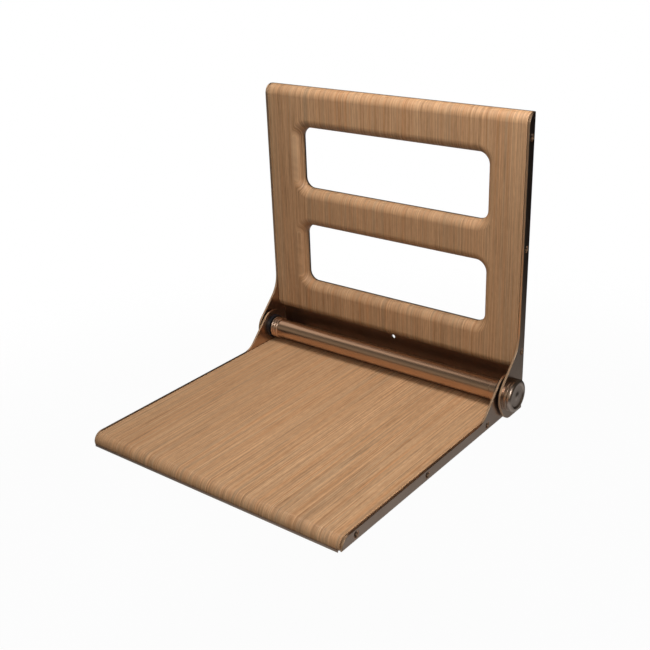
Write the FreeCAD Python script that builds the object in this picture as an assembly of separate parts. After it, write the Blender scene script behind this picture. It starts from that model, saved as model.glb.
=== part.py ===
import FreeCAD, Part
import math
import os

from FreeCAD import Vector

# Fold down wall seat: two folded metal trays with timber panels that share one hinge line.
# The wall is the plane y = 0, the seat reaches out towards -Y and +Z is up.
# The origin is the centre of the four wall bolts, on the wall. All sizes are in millimetres.

# Folded sheet of both trays
sheet = 3.0
bend_inside = 0.5
bend_outside = bend_inside + sheet
edge_break = 0.4

# Back tray
back_half = 200.0
top_z = 165.5
bottom_z = -220.0
rail_depth = 15.5
wall_bolt_radius = 4.5
wall_bolt_x = 140.0
wall_bolt_z = 137.0
spare_hole_radius = 3.0
spare_hole_z = -168.5

# Hinge line and the ears about it
hinge_y = -37.0
hinge_z = -185.0
ear_radius = 24.5
ear_slope_angle = 135.0
back_heel_angle = 212.0
back_ear_blend = 45.0
back_heel_blend = 22.0
seat_ear_blend = 28.0
seat_rear_angle = 0.0

# Timber panels
timber = 12.5
panel_gap = 0.5
nose_radius = 12.5
back_panel_bottom = -163.5
back_panel_corner = 8.0
seat_panel_front = -386.0
seat_panel_rear = -33.5

# Windows through the back
window_half = 144.6
window_height = 85.0
window_centres = (68.5, -69.7)
window_corner = 14.0
window_round = 12.4
bolt_pocket_radius = 9.0
bolt_pocket_depth = 6.0

# Seat tray
seat_half = 194.0
seat_flange_top = bottom_z + sheet + timber
flange_front = -384.0
front_lip = -386.5
front_lip_half = 189.5
relief_radius = 1.6
upstand_half = 189.0
upstand_back = -5.8
upstand_top = -208.0
flange_tail_blend = 3.0
flange_tail_round = 2.0

# Rubber stops on the seat tray's upstand
pad_x = 120.0
pad_width = 30.0
pad_bottom = -217.0
pad_top = -209.0
pad_back = -3.3
pad_round = 1.0

# Side screws
screw_head_radius = 4.3
screw_shank_radius = 2.45
screw_sunk = 0.8
screw_land = 0.3
screw_length = 22.0
screw_tip_round = 0.6
screw_tip_room = 0.5
screw_socket = 3.0
screw_socket_depth = 2.0
screw_clearance = 0.05
back_screw_z = (137.0, 0.0, -137.0)
seat_screw_y = (-81.5, -220.5, -359.5)

# Parts on the hinge line, from the middle outwards
shaft_radius = 8.0
running_gap = 0.05
turned_round = 0.5
groove_width = 0.8
groove_depth = 0.8
groove_round = 0.3
tube_radius = 13.45
tube_wall = 2.5
tube_half = 176.5
collar_radius = 15.2
collar_end = 186.0
collar_round = 0.9
collar_grooves = (183.4, 180.6)
spigot_length = 12.0
side_play = 0.3
bush_flange_radius = 16.9
bush_barrel_radius = 12.0
spacer_radius = 17.0

# Boss and dished cap on the right end
boss_radius = 21.3
boss_end = 206.4
boss_groove = 202.8
boss_bore = 12.0
cap_neck_radius = 20.3
cap_rim_start = 207.0
cap_end = 212.0
cap_rim_round = 0.4
cap_shoulder = 3.2
cap_dish_radius = 16.8
cap_floor_radius = 13.6
cap_dish_depth = 1.7
cap_dish_rounds = (1.6, 4.0)
cap_dimple_radius = 7.4
cap_dimple_floor = 5.6
cap_dimple_depth = 1.2
cap_dimple_round = 1.4
cap_thread_start = 200.5
cap_thread_end = 207.3
shaft_end = 207.0

# Low head on the left end
head_washer_radius = 17.0
head_washer_thickness = 1.3
head_radius = 15.5
head_thickness = 3.2
head_round = 1.4
head_socket = 8.0
head_socket_depth = 3.0

# How far a cut runs past the faces that it goes through
overrun = 1.0


def rounded_face(corners):
    """Flat face through corners of (point, radius), each corner rounded by its radius."""
    edges = []
    joins = []
    for index, (corner, radius) in enumerate(corners):
        to_before = (corners[index - 1][0] - corner).normalize()
        to_after = (corners[(index + 1) % len(corners)][0] - corner).normalize()
        half_angle = to_before.getAngle(to_after) / 2
        reach = radius / math.tan(half_angle)
        start = corner + to_before * reach
        finish = corner + to_after * reach
        if radius > 0:
            centre = corner + (to_before + to_after).normalize() * (radius / math.sin(half_angle))
            middle = centre + (corner - centre).normalize() * radius
            edges.append(Part.Arc(start, middle, finish).toShape())
        joins.append((start, finish))
    for index, (start, finish) in enumerate(joins):
        before = joins[index - 1][1]
        if before.distanceToPoint(start) > 1e-6:
            edges.append(Part.makeLine(before, start))
    return Part.Face(Part.Wire(Part.__sortEdges__(edges)))


def side_prism(corners, x_from, x_to):
    """Prism along X from a side outline of (y, z, radius)."""
    face = rounded_face([(Vector(x_from, y, z), radius) for y, z, radius in corners])
    return face.extrude(Vector(x_to - x_from, 0, 0))


def front_prism(corners, y_from, y_to):
    """Prism along Y from a front outline of (x, z, radius)."""
    face = rounded_face([(Vector(x, y_from, z), radius) for x, z, radius in corners])
    return face.extrude(Vector(0, y_to - y_from, 0))


def plan_prism(corners, z_from, z_to):
    """Prism along Z from a plan outline of (x, y, radius)."""
    face = rounded_face([(Vector(x, y, z_from), radius) for x, y, radius in corners])
    return face.extrude(Vector(0, 0, z_to - z_from))


def turned(profile, y=hinge_y, z=hinge_z):
    """Solid turned about a line along X, from a profile of (x, distance from the line, radius)."""
    face = rounded_face([(Vector(x, y, z + out), radius) for x, out, radius in profile])
    return face.revolve(Vector(0, y, z), Vector(1, 0, 0), 360)


def mirrored(shape):
    return shape.mirror(Vector(0, 0, 0), Vector(1, 0, 0))


def hexagon_prism(across_flats, x_from, x_to, y=hinge_y, z=hinge_z):
    """Hexagonal key socket along X."""
    outer = across_flats / 2 / math.cos(math.pi / 6)
    points = []
    for step in range(6):
        turn = math.radians(60 * step)
        points.append((y + outer * math.cos(turn), z + outer * math.sin(turn), 0))
    return side_prism(points, x_from, x_to)


def groove(from_x, to_x, radius):
    """Profile points of a groove in a turned part, with slightly rounded lips."""
    floor = radius - groove_depth
    return [
        (from_x, radius, groove_round),
        (from_x, floor, 0),
        (to_x, floor, 0),
        (to_x, radius, groove_round),
    ]


def bored_through(half, radius):
    """Round bar along the hinge line, a little longer than the part that it is cut from."""
    start = Vector(-half - overrun, hinge_y, hinge_z)
    return Part.makeCylinder(radius, 2 * (half + overrun), start, Vector(1, 0, 0))


def slope_z(angle, y):
    """Height at which the line touching the ear's round end at this angle passes y."""
    turn = math.radians(angle)
    return hinge_z + (ear_radius - (y - hinge_y) * math.cos(turn)) / math.sin(turn)


def slope_y(angle, z):
    """Place at which the line touching the ear's round end at this angle passes z."""
    turn = math.radians(angle)
    return hinge_y + (ear_radius - (z - hinge_z) * math.sin(turn)) / math.cos(turn)


def ear_corner(first_angle, last_angle):
    """Corner where two lines touching the ear's round end meet, rounded by the ear's radius."""
    middle = math.radians((first_angle + last_angle) / 2)
    spread = math.radians(abs(last_angle - first_angle) / 2)
    reach = ear_radius / math.cos(spread)
    return (hinge_y + reach * math.cos(middle), hinge_z + reach * math.sin(middle), ear_radius)


def window_prism(centre, y_from, y_to):
    low = centre - window_height / 2
    high = centre + window_height / 2
    corners = [
        (-window_half, low, window_corner),
        (window_half, low, window_corner),
        (window_half, high, window_corner),
        (-window_half, high, window_corner),
    ]
    return front_prism(corners, y_from, y_to)


def side_screw(half, y, z):
    """Countersunk screw on the +X side, its head just below the flange's face."""
    face_x = half - screw_sunk
    cone = screw_head_radius - screw_shank_radius
    profile = [
        (face_x, 0, 0),
        (face_x, screw_head_radius, 0),
        (face_x - screw_land, screw_head_radius, 0),
        (face_x - screw_land - cone, screw_shank_radius, 0),
        (face_x - screw_length, screw_shank_radius, screw_tip_round),
        (face_x - screw_length, 0, 0),
    ]
    socket_floor = face_x - screw_socket_depth
    return turned(profile, y, z).cut(hexagon_prism(screw_socket, socket_floor, face_x + overrun, y, z))


def screw_hole(half, y, z):
    """Room for a side screw: countersink in the flange and pilot hole in the timber."""
    wide = screw_head_radius + screw_clearance
    narrow = screw_shank_radius + screw_clearance
    land_x = half - screw_sunk - screw_land
    tip_x = half - screw_sunk - screw_length - screw_tip_room
    profile = [
        (half + overrun, 0, 0),
        (half + overrun, wide, 0),
        (land_x, wide, 0),
        (land_x - (wide - narrow), narrow, 0),
        (tip_x, narrow, 0),
        (tip_x, 0, 0),
    ]
    return turned(profile, y, z)


def both_sides(shape):
    return [shape, mirrored(shape)]


def back_screw_y():
    return -(sheet + timber / 2)


def seat_screw_z():
    return bottom_z + sheet + timber / 2


def back_screw_holes():
    holes = []
    for z in back_screw_z:
        holes += both_sides(screw_hole(back_half, back_screw_y(), z))
    return holes


def seat_screw_holes():
    holes = []
    for y in seat_screw_y:
        holes += both_sides(screw_hole(seat_half, y, seat_screw_z()))
    return holes


def broken_edges(shape, is_sharp):
    """The shape with a small round on the edges that is_sharp picks."""
    edges = [edge for edge in shape.Edges if is_sharp(edge)]
    return shape.makeFillet(edge_break, edges)


def lies_on_face(edge, x):
    return abs(edge.BoundBox.XMin - x) < 1e-3 and abs(edge.BoundBox.XMax - x) < 1e-3


def wall_bolt_places():
    return [(x, z) for x in (-wall_bolt_x, wall_bolt_x) for z in (-wall_bolt_z, wall_bolt_z)]


def from_behind(x, z, radius, depth):
    """Round cut at a place on the wall plane, this deep in front of it."""
    return Part.makeCylinder(radius, depth + overrun, Vector(x, overrun, z), Vector(0, -1, 0))


def back_tray():
    """Wall tray: plate with two side flanges that widen into the hinge ears."""
    ear_front = hinge_y - ear_radius - sheet
    inner = back_half - sheet
    channel = plan_prism(
        [
            (-back_half, ear_front, 0),
            (-back_half, 0, bend_outside),
            (back_half, 0, bend_outside),
            (back_half, ear_front, 0),
            (inner, ear_front, 0),
            (inner, -sheet, bend_inside),
            (-inner, -sheet, bend_inside),
            (-inner, ear_front, 0),
        ],
        bottom_z,
        top_z,
    )
    outline = side_prism(
        [
            (0, top_z, 0),
            (-rail_depth, top_z, nose_radius),
            (-rail_depth, slope_z(ear_slope_angle, -rail_depth), back_ear_blend),
            ear_corner(ear_slope_angle, back_heel_angle),
            (slope_y(back_heel_angle, bottom_z), bottom_z, back_heel_blend),
            (0, bottom_z, 0),
        ],
        -back_half,
        back_half,
    )
    tray = channel.common(outline)

    def is_flange_edge(edge):
        on_side = any(lies_on_face(edge, side * x) for side in (-1, 1) for x in (back_half, inner))
        return on_side and edge.BoundBox.YMin < -sheet - bend_inside - edge_break

    tray = broken_edges(tray, is_flange_edge)
    cuts = [window_prism(centre, -sheet - overrun, overrun) for centre in window_centres]
    for x, z in wall_bolt_places():
        cuts.append(from_behind(x, z, wall_bolt_radius, sheet + overrun))
    cuts.append(from_behind(0, spare_hole_z, spare_hole_radius, sheet + overrun))
    cuts.append(bored_through(back_half, shaft_radius + running_gap))
    return tray.cut(cuts + back_screw_holes())


def back_panel():
    """Timber back with rounded top and bottom edges and two rounded windows."""
    front = -sheet - timber
    half = back_half - sheet - panel_gap
    panel = side_prism(
        [
            (-sheet, back_panel_bottom, 0),
            (front, back_panel_bottom, nose_radius),
            (front, top_z, nose_radius),
            (-sheet, top_z, 0),
        ],
        -half,
        half,
    )
    elevation = front_prism(
        [
            (-half, back_panel_bottom, back_panel_corner),
            (half, back_panel_bottom, back_panel_corner),
            (half, top_z, 0),
            (-half, top_z, 0),
        ],
        front - overrun,
        -sheet + overrun,
    )
    panel = panel.common(elevation)
    panel = panel.cut([window_prism(centre, front - overrun, 0) for centre in window_centres])
    rims = []
    for edge in panel.Edges:
        box = edge.BoundBox
        flat = abs(box.YMin - front) < 1e-3 and abs(box.YMax - front) < 1e-3
        inside = max(abs(box.XMin), abs(box.XMax)) < window_half + overrun
        if flat and inside:
            rims.append(edge)
    panel = panel.makeFillet(window_round, rims)
    pockets = []
    for x, z in wall_bolt_places():
        pockets.append(from_behind(x, z, bolt_pocket_radius, sheet + bolt_pocket_depth))
    return panel.cut(pockets + back_screw_holes())


def seat_tray():
    """Seat tray: plate with two side flanges that rise into ears, a front lip and a rear upstand."""
    inner = seat_half - sheet
    above_ears = hinge_z + ear_radius + sheet
    plate_top = bottom_z + sheet
    ear_rear = hinge_y + ear_radius
    channel = front_prism(
        [
            (-seat_half, above_ears, 0),
            (-seat_half, bottom_z, bend_outside),
            (seat_half, bottom_z, bend_outside),
            (seat_half, above_ears, 0),
            (inner, above_ears, 0),
            (inner, plate_top, bend_inside),
            (-inner, plate_top, bend_inside),
            (-inner, above_ears, 0),
        ],
        flange_front,
        upstand_back,
    )
    outline = side_prism(
        [
            (flange_front, bottom_z, 0),
            (flange_front, seat_flange_top, nose_radius),
            (slope_y(ear_slope_angle, seat_flange_top), seat_flange_top, seat_ear_blend),
            ear_corner(ear_slope_angle, seat_rear_angle),
            (ear_rear, upstand_top, flange_tail_blend),
            (upstand_back, upstand_top, flange_tail_round),
            (upstand_back, bottom_z, bend_outside),
        ],
        -seat_half,
        seat_half,
    )
    tray = channel.common(outline)

    def is_flange_edge(edge):
        on_side = any(lies_on_face(edge, side * x) for side in (-1, 1) for x in (seat_half, inner))
        return on_side and edge.BoundBox.ZMax > plate_top + bend_inside + edge_break

    tray = broken_edges(tray, is_flange_edge)
    lip = plan_prism(
        [
            (-front_lip_half, flange_front, 0),
            (-front_lip_half, front_lip, 0),
            (front_lip_half, front_lip, 0),
            (front_lip_half, flange_front, 0),
        ],
        bottom_z,
        plate_top,
    )
    upstand = side_prism(
        [
            (ear_rear, bottom_z, 0),
            (upstand_back, bottom_z, bend_outside),
            (upstand_back, upstand_top, 0),
            (upstand_back - sheet, upstand_top, 0),
            (upstand_back - sheet, plate_top, bend_inside),
            (ear_rear, plate_top, 0),
        ],
        -upstand_half,
        upstand_half,
    )
    tray = tray.fuse([lip, upstand]).removeSplitter()
    cuts = []
    for x in (-front_lip_half, front_lip_half):
        start = Vector(x, flange_front, bottom_z - overrun)
        cuts.append(Part.makeCylinder(relief_radius, sheet + 2 * overrun, start, Vector(0, 0, 1)))
    cuts.append(bored_through(seat_half, bush_barrel_radius + running_gap))
    return tray.cut(cuts + seat_screw_holes())


def seat_panel():
    """Timber seat board with a quarter round nose and tail."""
    half = seat_half - sheet - panel_gap
    under = bottom_z + sheet
    board = side_prism(
        [
            (seat_panel_front, under, 0),
            (seat_panel_front, under + timber, nose_radius),
            (seat_panel_rear, under + timber, nose_radius),
            (seat_panel_rear, under, 0),
        ],
        -half,
        half,
    )
    return board.cut(seat_screw_holes())


def back_screws():
    return Part.makeCompound([side_screw(back_half, back_screw_y(), z) for z in back_screw_z])


def seat_screws():
    return Part.makeCompound([side_screw(seat_half, y, seat_screw_z()) for y in seat_screw_y])


def hinge_tube():
    """Cross tube between the two collars."""
    inside = tube_radius - tube_wall
    return turned(
        [
            (-tube_half, inside, 0),
            (-tube_half, tube_radius, turned_round),
            (tube_half, tube_radius, turned_round),
            (tube_half, inside, 0),
        ]
    )


def collar():
    """Ribbed collar at the right end of the tube, with a spigot inside the tube."""
    bore = shaft_radius + running_gap
    spigot = tube_radius - tube_wall - running_gap
    profile = [
        (tube_half - spigot_length, bore, 0),
        (collar_end, bore, 0),
        (collar_end, collar_radius, turned_round),
    ]
    for groove_x in collar_grooves:
        profile += groove(groove_x, groove_x - groove_width, collar_radius)
    profile += [
        (tube_half, collar_radius, collar_round),
        (tube_half, spigot, 0),
        (tube_half - spigot_length, spigot, 0),
    ]
    return turned(profile)


def bush():
    """Black flanged bush in the right seat ear."""
    bore = shaft_radius + running_gap
    seat_inner = seat_half - sheet
    return turned(
        [
            (collar_end + side_play, bore, 0),
            (collar_end + side_play, bush_flange_radius, turned_round),
            (seat_inner, bush_flange_radius, turned_round),
            (seat_inner, bush_barrel_radius, 0),
            (seat_half, bush_barrel_radius, 0),
            (seat_half, bore, 0),
        ]
    )


def washer(from_x, to_x, radius):
    """Plain ring round the shaft."""
    bore = shaft_radius + running_gap
    return turned([(from_x, bore, 0), (from_x, radius, 0), (to_x, radius, 0), (to_x, bore, 0)])


def ear_spacer():
    """Washer between the right seat ear and the right wall ear."""
    return washer(seat_half + side_play, back_half - sheet, spacer_radius)


def head_washer():
    """Washer under the shaft's low head."""
    return washer(-back_half - head_washer_thickness, -back_half, head_washer_radius)


def hinge_shaft():
    """Solid shaft with a low head on the left, its right end screwed into the cap."""
    head_inner = -back_half - head_washer_thickness
    head_outer = head_inner - head_thickness
    shaft = turned(
        [
            (head_outer, 0, 0),
            (head_outer, head_radius, head_round),
            (head_inner, head_radius, 0),
            (head_inner, shaft_radius, 0),
            (shaft_end, shaft_radius, turned_round),
            (shaft_end, 0, 0),
        ]
    )
    return shaft.cut(hexagon_prism(head_socket, head_outer - overrun, head_outer + head_socket_depth))


def outer_boss():
    """Grooved ring between the right wall ear and the cap."""
    return turned(
        [
            (back_half, boss_bore, 0),
            (back_half, boss_radius, 0),
            *groove(boss_groove, boss_groove + groove_width, boss_radius),
            (boss_end, boss_radius, turned_round),
            (boss_end, boss_bore, 0),
        ]
    )


def hinge_cap():
    """Dished cap nut on the right end of the shaft, which clamps the boss on the ear."""
    bore = shaft_radius + running_gap
    spigot = boss_bore - running_gap
    floor_x = cap_end - cap_dish_depth
    dimple_x = floor_x - cap_dimple_depth
    rim_round, floor_round = cap_dish_rounds
    return turned(
        [
            (cap_thread_end, 0, 0),
            (cap_thread_end, bore, 0),
            (cap_thread_start, bore, 0),
            (cap_thread_start, spigot, 0),
            (boss_end, spigot, 0),
            (boss_end, cap_neck_radius, 0),
            (cap_rim_start, cap_neck_radius, 0),
            (cap_rim_start, boss_radius, cap_rim_round),
            (cap_end, boss_radius, cap_shoulder),
            (cap_end, cap_dish_radius, rim_round),
            (floor_x, cap_floor_radius, floor_round),
            (floor_x, cap_dimple_radius, cap_dimple_round),
            (dimple_x, cap_dimple_floor, cap_dimple_round),
            (dimple_x, 0, 0),
        ]
    )


def stop_pad():
    """Rubber pad on the right of the upstand, just clear of the wall tray's plate."""
    low_x = pad_x - pad_width / 2
    high_x = pad_x + pad_width / 2
    pad = side_prism(
        [
            (upstand_back, pad_bottom, 0),
            (pad_back, pad_bottom, pad_round),
            (pad_back, pad_top, pad_round),
            (upstand_back, pad_top, 0),
        ],
        low_x,
        high_x,
    )
    return pad


def save(name, shape):
    print(name, "volume", round(shape.Volume / 1000, 2), "cm3, valid", shape.isValid())
    shape.exportStep("parts/" + name + ".step")


os.makedirs("parts", exist_ok=True)

single_parts = {
    "back_tray": back_tray,
    "back_panel": back_panel,
    "seat_tray": seat_tray,
    "seat_panel": seat_panel,
    "hinge_tube": hinge_tube,
    "hinge_shaft": hinge_shaft,
    "head_washer": head_washer,
    "outer_boss": outer_boss,
    "hinge_cap": hinge_cap,
}
for name, build in single_parts.items():
    save(name, build())

paired_parts = {
    "back_screws": back_screws,
    "seat_screws": seat_screws,
    "collar": collar,
    "bush": bush,
    "ear_spacer": ear_spacer,
    "stop_pad": stop_pad,
}
for name, build in paired_parts.items():
    right = build()
    save(name + "_right", right)
    save(name + "_left", mirrored(right))
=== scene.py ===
import math

import bmesh
import bpy
from mathutils import Matrix, Vector


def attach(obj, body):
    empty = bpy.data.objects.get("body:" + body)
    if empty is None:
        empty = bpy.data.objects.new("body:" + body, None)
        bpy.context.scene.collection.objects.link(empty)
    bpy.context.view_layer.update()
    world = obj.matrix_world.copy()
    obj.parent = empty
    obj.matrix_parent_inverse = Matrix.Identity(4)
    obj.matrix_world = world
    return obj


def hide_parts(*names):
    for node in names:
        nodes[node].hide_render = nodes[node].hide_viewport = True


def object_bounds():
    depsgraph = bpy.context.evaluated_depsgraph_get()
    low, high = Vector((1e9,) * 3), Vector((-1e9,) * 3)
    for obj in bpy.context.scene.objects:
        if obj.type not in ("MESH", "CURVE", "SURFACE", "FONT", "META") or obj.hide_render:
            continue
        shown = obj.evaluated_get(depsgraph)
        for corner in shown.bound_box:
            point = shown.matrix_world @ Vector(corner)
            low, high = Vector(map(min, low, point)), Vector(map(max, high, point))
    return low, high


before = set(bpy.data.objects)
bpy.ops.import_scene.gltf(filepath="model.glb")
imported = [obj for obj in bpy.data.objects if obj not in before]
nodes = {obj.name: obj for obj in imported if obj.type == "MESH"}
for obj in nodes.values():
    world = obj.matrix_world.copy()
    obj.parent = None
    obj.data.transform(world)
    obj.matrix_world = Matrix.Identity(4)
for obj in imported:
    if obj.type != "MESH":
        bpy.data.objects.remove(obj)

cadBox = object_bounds()  # the box of the bare solids, which sets the floor's height
scene = bpy.context.scene


# Node helpers

def addNode(tree, kind, place, **values):
    node = tree.nodes.new(kind)
    node.location = place
    for key, value in values.items():
        setattr(node, key, value)
    return node


def join(tree, source, target):
    tree.links.new(source, target)


def feed(tree, socket, value):
    if isinstance(value, bpy.types.NodeSocket):
        join(tree, value, socket)
    else:
        socket.default_value = value


def maths(tree, operation, place, *values):
    node = addNode(tree, "ShaderNodeMath", place, operation=operation)
    for socket, value in zip(node.inputs, values):
        feed(tree, socket, value)
    return node.outputs["Value"]


def fromSrgb(red, green, blue):
    linear = []
    for value in (red, green, blue):
        share = value / 255
        linear.append(share / 12.92 if share <= 0.04045 else ((share + 0.055) / 1.055) ** 2.4)
    return tuple(linear)


def opaque(colour):
    return (*colour, 1.0)


def newMaterial(name):
    material = bpy.data.materials.new(name)
    material.use_nodes = True
    tree = material.node_tree
    tree.nodes.clear()
    shader = addNode(tree, "ShaderNodeBsdfPrincipled", (900, 0))
    output = addNode(tree, "ShaderNodeOutputMaterial", (1200, 0))
    join(tree, shader.outputs["BSDF"], output.inputs["Surface"])
    return material, tree, shader


def noise(tree, vector, place, scale, detail, rough):
    node = addNode(tree, "ShaderNodeTexNoise", place)
    node.inputs["Scale"].default_value = scale
    node.inputs["Detail"].default_value = detail
    node.inputs["Roughness"].default_value = rough
    join(tree, vector, node.inputs["Vector"])
    return node.outputs["Fac"]


def ramp(tree, source, place, stops):
    node = addNode(tree, "ShaderNodeValToRGB", place)
    band = node.color_ramp
    while len(band.elements) < len(stops):
        band.elements.new(0.5)
    for element, (at, colour) in zip(band.elements, stops):
        element.position = at
        element.color = opaque(colour)
    join(tree, source, node.inputs["Fac"])
    return node.outputs["Color"]


def spread(tree, source, place, low, high, newLow, newHigh):
    node = addNode(tree, "ShaderNodeMapRange", place)
    for socket, value in zip(node.inputs[1:5], (low, high, newLow, newHigh)):
        socket.default_value = value
    join(tree, source, node.inputs["Value"])
    return node.outputs["Result"]


# The Mix node keeps its colour sockets behind those for plain numbers and vectors
def mixColour(tree, kind, place, amount, first, second):
    node = addNode(tree, "ShaderNodeMix", place, data_type="RGBA", blend_type=kind)
    feed(tree, node.inputs["Factor"], amount)
    feed(tree, node.inputs[6], first)
    feed(tree, node.inputs[7], second)
    return node.outputs[2]


def bump(tree, height, shader, place, strength, distance):
    node = addNode(tree, "ShaderNodeBump", place)
    node.inputs["Strength"].default_value = strength
    node.inputs["Distance"].default_value = distance
    join(tree, height, node.inputs["Height"])
    join(tree, node.outputs["Normal"], shader.inputs["Normal"])


# Share of an edge that catches light: the normal of a softly rounded copy against the true one
def edgeShare(tree, place, radius, turn):
    soft = addNode(tree, "ShaderNodeBevel", place, samples=4)
    soft.inputs["Radius"].default_value = radius
    hard = addNode(tree, "ShaderNodeNewGeometry", (place[0], place[1] - 200))
    dot = addNode(tree, "ShaderNodeVectorMath", (place[0] + 200, place[1]), operation="DOT_PRODUCT")
    join(tree, soft.outputs["Normal"], dot.inputs[0])
    join(tree, hard.outputs["Normal"], dot.inputs[1])
    return spread(tree, dot.outputs["Value"], (place[0] + 400, place[1]), *turn, 1.0, 0.0)


# Timber

timberLook = {
    "pale": (207, 168, 130),
    "mid": (184, 144, 107),
    "dark": (154, 117, 85),
    "orange": (177, 125, 82),
    "grey": (160, 134, 106),
    "pore": (0.35, 0.28, 0.22),
    "poreDepth": 0.40,       # how much darker a pore is
    "tintShare": 0.60,       # how far a streak goes to orange or to grey
    "drift": (0.95, 1.04),   # slow change of brightness across the board
    "fleckShare": 0.45,      # how much short flecks break up the long fibres
    "roughness": (0.40, 0.56),
    "bumpStrength": 0.5,
    "bumpHeight": 0.00012,
    "layers": {              # waves per metre across and along the grain, shift, detail, roughness
        "broad": (16.0, 1.2, 1.3, 3.0, 0.6),
        "streak": (560.0, 2.0, 2.9, 3.0, 0.6),
        "fibre": (900.0, 4.5, 4.1, 3.0, 0.6),
        "pore": (700.0, 16.0, 5.7, 2.0, 0.5),
        "fleck": (520.0, 110.0, 6.3, 2.0, 0.6),
        "tint": (300.0, 2.2, 7.7, 3.0, 0.6),
    },
}


# Grain follows the board's length, z on the back and y on the seat, and runs over the rounded ends
def timberMaterial(name, depthAxis, seed, contrast, paintedLightLevel):
    material, tree, shader = newMaterial(name)
    coords = addNode(tree, "ShaderNodeTexCoord", (-2400, 0))
    place = addNode(tree, "ShaderNodeSeparateXYZ", (-2200, 100))
    join(tree, coords.outputs["Object"], place.inputs["Vector"])
    facing = addNode(tree, "ShaderNodeSeparateXYZ", (-2200, -200))
    join(tree, coords.outputs["Normal"], facing.inputs["Vector"])
    sideShare = maths(tree, "ABSOLUTE", (-2000, -200), facing.outputs["X"])
    length = maths(tree, "ADD", (-2000, 0), place.outputs["Y"], place.outputs["Z"])
    depth = maths(tree, "MULTIPLY", (-1800, -200), sideShare, place.outputs[depthAxis])
    across = maths(tree, "ADD", (-1800, 100), place.outputs["X"], depth)
    sheet = addNode(tree, "ShaderNodeCombineXYZ", (-1600, 0))
    join(tree, across, sheet.inputs["X"])
    join(tree, length, sheet.inputs["Y"])

    def layer(label, top):
        acrossScale, alongScale, shift, detail, rough = timberLook["layers"][label]
        mapping = addNode(tree, "ShaderNodeMapping", (-1400, top))
        mapping.inputs["Scale"].default_value = (acrossScale, alongScale, 1.0)
        mapping.inputs["Location"].default_value = (seed, seed * 0.7, seed + shift)
        join(tree, sheet.outputs["Vector"], mapping.inputs["Vector"])
        return noise(tree, mapping.outputs["Vector"], (-1200, top), 1.0, detail, rough)

    broad = layer("broad", 600)
    streak = layer("streak", 300)
    fibre = layer("fibre", 0)
    pore = layer("pore", -300)
    fleck = layer("fleck", -450)
    tint = layer("tint", -600)

    tone = ramp(tree, streak, (-900, 300), [
        (0.22, fromSrgb(*timberLook["dark"])),
        (0.50, fromSrgb(*timberLook["mid"])),
        (0.80, fromSrgb(*timberLook["pale"])),
    ])
    warm = spread(tree, tint, (-900, -500), 0.52, 0.70, 0.0, timberLook["tintShare"])
    cool = spread(tree, tint, (-900, -700), 0.48, 0.30, 0.0, timberLook["tintShare"])
    orange, grey = (opaque(fromSrgb(*timberLook[label])) for label in ("orange", "grey"))
    tone = mixColour(tree, "MIX", (-600, 300), warm, tone, orange)
    tone = mixColour(tree, "MIX", (-400, 300), cool, tone, grey)
    low, high = timberLook["drift"]
    # painted light: the board's whole colour is scaled by its light level, lighter on the lit seat
    # and darker on the shaded back
    drift = ramp(tree, broad, (-600, 600), [(0.3, (low * paintedLightLevel,) * 3), (0.7, (high * paintedLightLevel,) * 3)])
    tone = mixColour(tree, "MULTIPLY", (-200, 400), 1.0, tone, drift)
    grain = maths(tree, "MULTIPLY_ADD", (-900, -50), fleck, timberLook["fleckShare"], fibre)
    low, high = 1.0 - contrast, 1.0 + 0.8 * contrast
    thread = ramp(tree, grain, (-600, 0), [
        (0.52, (low, low * 0.99, low * 0.98)),  # the dark threads are a touch warmer
        (0.93, (high, high, high)),
    ])
    tone = mixColour(tree, "MULTIPLY", (0, 300), 1.0, tone, thread)
    poreShare = spread(tree, pore, (-900, -300), 0.56, 0.68, 0.0, timberLook["poreDepth"])
    tone = mixColour(tree, "MULTIPLY", (200, 300), poreShare, tone, opaque(timberLook["pore"]))
    join(tree, tone, shader.inputs["Base Color"])
    low, high = timberLook["roughness"]
    join(tree, spread(tree, fibre, (200, 0), 0.3, 0.7, high, low), shader.inputs["Roughness"])
    relief = maths(tree, "SUBTRACT", (-300, -200), fibre, poreShare)
    bump(tree, relief, shader, (600, -300), timberLook["bumpStrength"], timberLook["bumpHeight"])
    return material


# Bronze coloured metal

trayLook = {
    "colour": (0.56, 0.41, 0.315),
    "shade": (0.50, 0.36, 0.275),
    "edge": (0.66, 0.46, 0.34),
    "stretch": (40.0, 40.0, 40.0),
    "roughness": (0.27, 0.31),
    "edgeRadius": 0.0006,
    "bumpHeight": 0.000001,
    "cutEdgeAndHighlight": (0.92, 0.66, 0.45),  # the sheet's bare cut edges, brighter and rougher; the brighter copper is partly a painted highlight
    "cutRoughness": 0.50,
    "cutFrom": 0.1902,       # the seat's side flanges lie beyond this distance from the middle
}
backCutFrom = 0.1964         # and the back's flanges beyond this one

tubeLook = {
    "colour": (0.56, 0.395, 0.295),
    "shade": (0.52, 0.365, 0.27),
    "edge": (0.66, 0.48, 0.36),
    "stretch": (2.0, 150.0, 150.0),  # drawing marks run along the tube
    "roughness": (0.26, 0.29),
    "edgeRadius": 0.0005,
    "bumpHeight": 0.0000002,
}

hingeLook = {
    "colour": (0.64, 0.47, 0.36),
    "shade": (0.56, 0.40, 0.30),
    "edge": (0.74, 0.54, 0.40),
    "stretch": (700.0, 12.0, 12.0),  # turning marks run round the hinge line
    "roughness": (0.25, 0.30),
    "edgeRadius": 0.0003,
    "bumpHeight": 0.000001,
}

# The cap is painted lighter and greyer than the other hinge metal, a painted reflection of the grey
# surroundings its face mirrors
capLookPaintedReflection = {
    "colour": (0.66, 0.52, 0.43),
    "shade": (0.58, 0.45, 0.365),
    "edge": (0.80, 0.62, 0.46),
    "stretch": (12.0, 260.0, 260.0),
    "roughness": (0.29, 0.34),
    "edgeRadius": 0.0004,
    "bumpHeight": 0.000001,
}

# The screw heads are painted near black, a painted shade for the shadow down in their countersunk
# holes
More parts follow.
